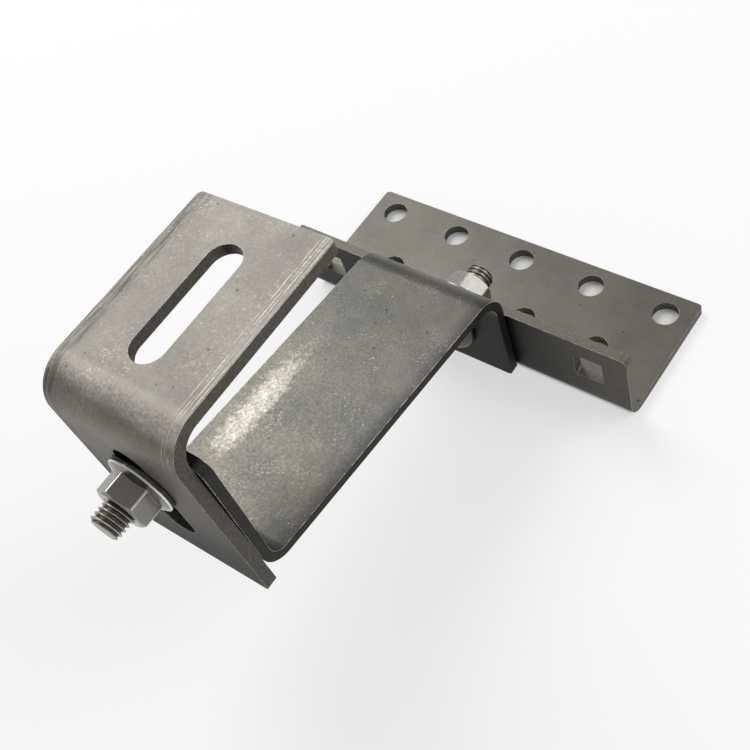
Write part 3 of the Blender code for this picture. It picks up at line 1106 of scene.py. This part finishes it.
# The rear nut is the paler and more matt of the two. Its corners and its flange's lip are painted
# a little paler, as a painted highlight.
rear_nut_finishes = (
    nut_metal("rear_nut_matt_stainless", low="#92918D", high="#AEACA8", roughness=(0.36, 0.46)),
    nut_metal("rear_nut_edge_highlight", low="#8C8A86", high="#BDBAB4", roughness=(0.36, 0.46)),
)
rear_nut = flange_nut(
    "rear_nut_m10",
    seat=FLANGE_Y + BASE_SHEET + GAP,
    direction=1,
    x=0,
    z=REAR_BOLT_Z,
    turn=REAR_NUT_TURN,
    finishes=rear_nut_finishes,
)
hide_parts("rear_flange_nut")
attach(rear_nut, "root")

# Rail bracket
# The bracket is a heavier angle, 4 mm thick, with one long slot in each leg, so that the rail can
# be set in height and depth. It hangs on the front bolt alone, and sits turned a little on it.

RAIL_SHEET = 4 * MM
RAIL_WIDTH = 50.5 * MM
RAIL_CENTRE_X = -1.7 * MM
RAIL_BOTTOM_Z = 49.9 * MM
RAIL_TOP_Z = 124.1 * MM
RAIL_END_Y = FLANGE_Y - 50.75 * MM
RAIL_FACE_Y = WALL_BACK_Y - ARM_SHEET - GAP - RAIL_SHEET
RAIL_FOLD = 12 * MM
RAIL_TIPS = (1.8 * MM, 1.8 * MM)
RAIL_TURN = math.radians(-2.8)
SLOT_WIDTH = 11.9 * MM
SLOT_LENGTH = 42 * MM
SLOT_X = -2.2 * MM
TOP_SLOT_Y = FLANGE_Y - 83.95 * MM
FACE_SLOT_Z = 85.6 * MM
RAIL_EDGE = 0.3 * MM

# The bracket's sheet is the palest, mottled and finely pitted. Its face is painted darker than its
# top, and darker still towards its lower right corner, as painted shade. The start of the fold is
# painted paler, as a painted highlight. Four long scratches run beside the right edge, over the top
# and round the fold, and dark scuff marks run along the left edge.
SCRATCHES_X = (17.8 * MM, 19 * MM, 19.9 * MM, 21.1 * MM)
SCRATCH_HALF = (0.05 * MM, 0.26 * MM)
SCRATCH_Z = (123 * MM, 105 * MM)
SCUFFED_X = (-25.5 * MM, -22 * MM)
FOLD_HIGHLIGHT_Y = (-140 * MM, -134 * MM)
FOLD_HIGHLIGHT_Z = (123.5 * MM, 120.5 * MM)
FACE_SHADE_Z = (88 * MM, 122 * MM)
CORNER_SHADE_Z = (52 * MM, 88 * MM)
CORNER_SHADE_SLANT = -0.37
FACE_SHADE_TONE = 0.52
CORNER_SHADE_TONE = 0.1
FOLD_HIGHLIGHT_TONE = 1.9
SCUFF_TONE = 0.45
SCRATCH_COLOUR = "#C6C1B3"
SCRATCH_BREAK = 0.8 * MM
SCRATCH_STRETCH = 0.09
rail_steel, rail_colour, rail_grain, rail_place = mill_finish(
    "rail_mill_stainless",
    low="#827E78",
    high="#959189",
    fleck="#A9A59B",
    pebble=0.2,
    pit_pitch=6 * MM,
    bareness=0.22,
    seed=0.8,
)
rail_spots = add_node(rail_steel, "ShaderNodeSeparateXYZ", links={"Vector": rail_place})
# Painted shade: the face darker, and its lower right corner darker still.
to_corner = add_node(
    rail_steel,
    "ShaderNodeMath",
    {"operation": "MULTIPLY_ADD", 1: CORNER_SHADE_SLANT},
    {0: rail_spots.outputs["X"], 2: rail_spots.outputs["Z"]},
).outputs["Value"]
shaded_face = fading(rail_steel, to_corner, *FACE_SHADE_Z)
shaded_corner = fading(rail_steel, to_corner, *CORNER_SHADE_Z)
# Painted highlight: the start of the fold is painted paler.
fold_highlight = add_node(
    rail_steel,
    "ShaderNodeMath",
    {"operation": "MULTIPLY"},
    {
        0: fading(rail_steel, rail_spots.outputs["Y"], *FOLD_HIGHLIGHT_Y),
        1: fading(rail_steel, rail_spots.outputs["Z"], *FOLD_HIGHLIGHT_Z),
    },
).outputs["Value"]
long_streaks = add_node(
    rail_steel,
    "ShaderNodeMapping",
    {"Scale": (1, SCRATCH_STRETCH, SCRATCH_STRETCH)},
    {"Vector": rail_place},
).outputs["Vector"]
scratch_breaks = add_node(
    rail_steel,
    "ShaderNodeTexNoise",
    {"Scale": 1 / SCRATCH_BREAK, "Detail": 2},
    {"Vector": long_streaks},
).outputs["Fac"]
scratch_left = add_node(
    rail_steel,
    "ShaderNodeMapRange",
    {"From Min": 0.38, "From Max": 0.66},
    {"Value": scratch_breaks},
).outputs["Result"]
left_side = fading(rail_steel, rail_spots.outputs["X"], *SCUFFED_X)
scuffed = add_node(
    rail_steel, "ShaderNodeMath", {"operation": "MULTIPLY"}, {0: left_side, 1: scratch_left}
).outputs["Value"]
rail_light_shade_and_scuffs = (
    (shaded_face, FACE_SHADE_TONE),
    (shaded_corner, CORNER_SHADE_TONE),
    (fold_highlight, FOLD_HIGHLIGHT_TONE),
    (scuffed, SCUFF_TONE),
)
rail_colour = paint_light_and_stains(rail_steel, rail_colour, rail_light_shade_and_scuffs)
above_face = fading(rail_steel, rail_spots.outputs["Z"], *SCRATCH_Z)
scratch_left = add_node(
    rail_steel, "ShaderNodeMath", {"operation": "MULTIPLY"}, {0: scratch_left, 1: above_face}
).outputs["Value"]
for scratch_x in SCRATCHES_X:
    in_scratch = fading(rail_steel, rail_spots.outputs["X"], *SCRATCH_HALF, line=scratch_x)
    scratched = add_node(
        rail_steel,
        "ShaderNodeMath",
        {"operation": "MULTIPLY"},
        {0: in_scratch, 1: scratch_left},
    ).outputs["Value"]
    rail_colour = add_node(
        rail_steel,
        "ShaderNodeMixRGB",
        {"Color2": linear(SCRATCH_COLOUR)},
        {"Fac": scratched, "Color1": rail_colour},
    ).outputs["Color"]
finish_metal(
    rail_steel, rail_colour, rail_grain, roughness=(0.5, 0.66), metallic=0.9, relief=0.03 * MM
)
rail_cut_edge = cut_edge("rail_cut_edge", low="#484640", high="#6D6A61")
rail_burr = burr("rail_burr")

rail_bracket = folded_sheet(
    "rail_angle",
    corners=[
        (RAIL_END_Y, RAIL_TOP_Z),
        (RAIL_FACE_Y, RAIL_TOP_Z),
        (RAIL_FACE_Y, RAIL_BOTTOM_Z),
    ],
    folds=[RAIL_FOLD],
    centre_x=RAIL_CENTRE_X,
    width=RAIL_WIDTH,
    thickness=RAIL_SHEET,
    tips=RAIL_TIPS,
    metals=(rail_steel, rail_cut_edge, rail_burr),
)
slots = [
    hole_tool(place, axis, SLOT_LENGTH, SLOT_WIDTH, SLOT_WIDTH / 2 - CLOSE)
    for place, axis in (
        ((SLOT_X, TOP_SLOT_Y, RAIL_TOP_Z - RAIL_SHEET / 2), (0, 0, 1)),
        ((SLOT_X, RAIL_FACE_Y + RAIL_SHEET / 2, FACE_SLOT_Z), (0, -1, 0)),
    )
]
cut_with(rail_bracket, *slots)
pivot = Matrix.Translation((FRONT_BOLT_X, 0, FRONT_BOLT_Z))
apply_place(rail_bracket, pivot @ Matrix.Rotation(RAIL_TURN, 4, "Y") @ pivot.inverted())
soften(rail_bracket, RAIL_EDGE, EDGE_SHARPER_THAN, SMOOTH_UNDER, BURR_METAL)
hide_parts("rail_bracket")
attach(rail_bracket, "root")

# Front bolt and nut
# The same bolt and nut hold the rail bracket. The bolt's head is behind the arm's wall, and its
# thread stands out of the nut by four turns.

FRONT_BOLT_LENGTH = 25 * MM
FRONT_NUT_TURN = math.radians(7)

# The front nut is satin. Its corners and its flange's lip are painted bright, as a painted
# highlight.
front_nut_finishes = (
    nut_metal("front_nut_satin_stainless", low="#72706B", high="#8C8A84", roughness=(0.16, 0.28)),
    nut_metal("front_nut_edge_highlight", low="#B4B2AC", high="#FAF8F3", roughness=(0.2, 0.32)),
)

front_bolt = carriage_bolt(
    "front_bolt_m10",
    length=FRONT_BOLT_LENGTH,
    seat=WALL_BACK_Y + GAP,
    direction=-1,
    x=FRONT_BOLT_X,
    z=FRONT_BOLT_Z,
    steel=bolt_steel,
)
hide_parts("front_carriage_bolt")
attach(front_bolt, "root")

front_nut = flange_nut(
    "front_nut_m10",
    seat=RAIL_FACE_Y - GAP,
    direction=-1,
    x=FRONT_BOLT_X,
    z=FRONT_BOLT_Z,
    turn=FRONT_NUT_TURN,
    finishes=front_nut_finishes,
)
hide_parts("front_flange_nut")
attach(front_nut, "root")
